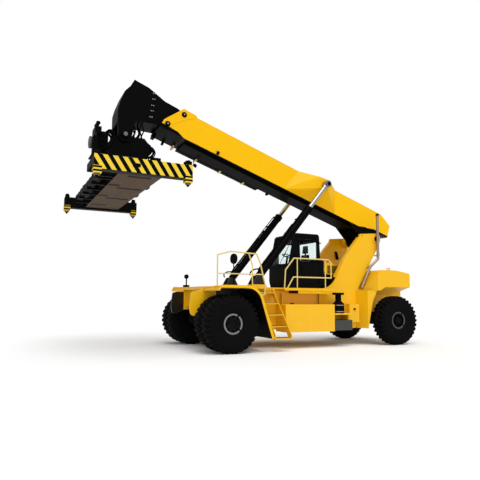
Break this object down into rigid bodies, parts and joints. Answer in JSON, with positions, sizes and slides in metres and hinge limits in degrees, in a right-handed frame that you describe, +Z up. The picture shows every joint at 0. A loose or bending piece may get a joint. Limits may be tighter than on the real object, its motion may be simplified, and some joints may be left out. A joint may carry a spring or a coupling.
{
  "type": "reach stacker",
  "caption": "Wheeled container handler with a telescopic boom, a turning spreader, a cab between its lift cylinders and a counterweight over the steered axle.",
  "frame": {"origin": "on the ground under the middle of the drive axle", "axes": "+X forward along the machine, +Y to its left, +Z up"},
  "size_m": [11.4945, 6.059, 7.9184],
  "materials": {
    "body_paint": "semi-gloss amber paint",
    "boom_paint": "semi-gloss amber paint",
    "rail_paint": "pale yellow paint",
    "black_paint": "satin black paint",
    "grey_paint": "satin grey paint",
    "rim_paint": "dusty cream paint",
    "tyre_rubber": "matt black tyre rubber",
    "rod_chrome": "hard chrome",
    "cast_metal": "painted casting",
    "cab_black": "satin black paint",
    "cab_trim": "matt dark plastic",
    "window_glass": "tinted glass",
    "exhaust_steel": "weathered steel"
  },
  "bodies": {
    "machine": {"chassis_frame": "body_paint", "front_deck": "body_paint", "tower": "body_paint", "counterweight": "body_paint", "drive_axle": "cast_metal", "steer_axle": "cast_metal", "side_tanks": "body_paint", "side_decks": "body_paint", "stair": "body_paint", "handrails": "rail_paint", "air_cleaner": "black_paint", "service_boxes": "grey_paint", "exhaust_stack": "exhaust_steel", "engine_block": "cast_metal", "engine_casing": "grey_paint", "cab_shell": "cab_black", "cab_glass": "window_glass", "cab_interior": "cab_trim", "deck_lamps": "black_paint"},
    "hood": {"engine_hood": "body_paint"},
    "cab_door": {"door": "cab_black", "door_glass": "window_glass"},
    "front_wheels_left": {"front_tyres_left": "tyre_rubber", "front_rims_left": "rim_paint"},
    "front_wheels_right": {"front_tyres_right": "tyre_rubber", "front_rims_right": "rim_paint"},
    "steering_left": {"knuckle_left": "cast_metal"},
    "steering_right": {"knuckle_right": "cast_metal"},
    "rear_wheel_left": {"rear_tyre_left": "tyre_rubber", "rear_rim_left": "rim_paint"},
    "rear_wheel_right": {"rear_tyre_right": "tyre_rubber", "rear_rim_right": "rim_paint"},
    "outer_boom": {"boom_outer": "boom_paint", "cable_tray": "black_paint"},
    "inner_boom": {"boom_inner": "boom_paint"},
    "barrel_left": {"lift_barrel_left": "boom_paint"},
    "barrel_right": {"lift_barrel_right": "boom_paint"},
    "rod_left": {"lift_rod_left": "rod_chrome"},
    "rod_right": {"lift_rod_right": "rod_chrome"},
    "head": {"head_yoke": "black_paint"},
    "turntable": {"rotator": "black_paint", "power_pack": "black_paint"},
    "spreader": {"spreader_frame": "black_paint"},
    "beam_left": {"end_beam_left": "boom_paint"},
    "beam_right": {"end_beam_right": "black_paint"}
  },
  "joints": [
    {"name": "boom_luff", "type": "hinge", "parent": "machine", "child": "outer_boom", "pos_m": [-6, 0, 3.6], "axis": [0, 1, 0], "range_deg": [-41, 18]},
    {"name": "boom_extend", "type": "slide", "parent": "outer_boom", "child": "inner_boom", "axis": [0.9461, 0, 0.3239], "range_m": [0, 6.5]},
    {"name": "head_level", "type": "hinge", "parent": "inner_boom", "child": "head", "pos_m": [2.77, 0, 6.2], "axis": [0, 1, 0], "range_deg": [-18.5, 41.5]},
    {"name": "spreader_rotate", "type": "hinge", "parent": "head", "child": "turntable", "pos_m": [2.77, 0, 5.38], "axis": [0, 0, 1], "range_deg": [-195, 105]},
    {"name": "side_shift", "type": "slide", "parent": "turntable", "child": "spreader", "axis": [0, 1, 0], "range_m": [-0.63, 0.97]},
    {"name": "telescope_left", "type": "slide", "parent": "spreader", "child": "beam_left", "axis": [0, 1, 0], "range_m": [0, 3.048]},
    {"name": "telescope_right", "type": "slide", "parent": "spreader", "child": "beam_right", "axis": [0, -1, 0], "range_m": [0, 3.06]},
    {"name": "lift_barrel_left", "type": "hinge", "parent": "machine", "child": "barrel_left", "pos_m": [-1.26, 0.98, 2.1], "axis": [0, 1, 0], "range_deg": [-4.5, 2.2]},
    {"name": "lift_barrel_right", "type": "hinge", "parent": "machine", "child": "barrel_right", "pos_m": [-1.26, -0.98, 2.1], "axis": [0, 1, 0], "range_deg": [-4.5, 2.2]},
    {"name": "lift_rod_left", "type": "slide", "parent": "barrel_left", "child": "rod_left", "axis": [-0.6331, 0, 0.7741], "range_m": [-0.83, 1.88]},
    {"name": "lift_rod_right", "type": "slide", "parent": "barrel_right", "child": "rod_right", "axis": [-0.6331, 0, 0.7741], "range_m": [-0.83, 1.88]},
    {"name": "steer_left", "type": "hinge", "parent": "machine", "child": "steering_left", "pos_m": [-6.3, 1.2, 0.81], "axis": [0, 0, 1], "range_deg": [-50, 50]},
    {"name": "steer_right", "type": "hinge", "parent": "machine", "child": "steering_right", "pos_m": [-6.3, -1.2, 0.81], "axis": [0, 0, 1], "range_deg": [-50.1, 50.1]},
    {"name": "rear_left_spin", "type": "hinge", "parent": "steering_left", "child": "rear_wheel_left", "pos_m": [-6.3, 1.385, 0.81], "axis": [0, 1, 0], "continuous": true},
    {"name": "rear_right_spin", "type": "hinge", "parent": "steering_right", "child": "rear_wheel_right", "pos_m": [-6.3, -1.385, 0.81], "axis": [0, 1, 0], "continuous": true},
    {"name": "front_left_spin", "type": "hinge", "parent": "machine", "child": "front_wheels_left", "pos_m": [0, 1.56, 0.81], "axis": [0, 1, 0], "continuous": true},
    {"name": "front_right_spin", "type": "hinge", "parent": "machine", "child": "front_wheels_right", "pos_m": [0, -1.56, 0.81], "axis": [0, 1, 0], "continuous": true},
    {"name": "door_swing", "type": "hinge", "parent": "machine", "child": "cab_door", "pos_m": [-3.76, 0.686, 2.7], "axis": [0, 0, 1], "range_deg": [0, 55]},
    {"name": "hood_lift", "type": "hinge", "parent": "machine", "child": "hood", "pos_m": [-4.9, 0, 2.51], "axis": [0, -1, 0], "range_deg": [0, 60]}
  ],
  "couplings": [
    {"joint": "head_level", "follows": "boom_luff", "ratio": -1},
    {"joint": "lift_barrel_left", "follows": "boom_luff", "ratio": 0.1},
    {"joint": "lift_barrel_right", "follows": "boom_luff", "ratio": 0.1},
    {"joint": "lift_rod_left", "follows": "boom_luff", "m_per_rad": -2.6},
    {"joint": "lift_rod_right", "follows": "boom_luff", "m_per_rad": -2.6},
    {"joint": "telescope_right", "follows": "telescope_left", "ratio": 1},
    {"joint": "steer_right", "follows": "steer_left", "ratio": 1}
  ]
}
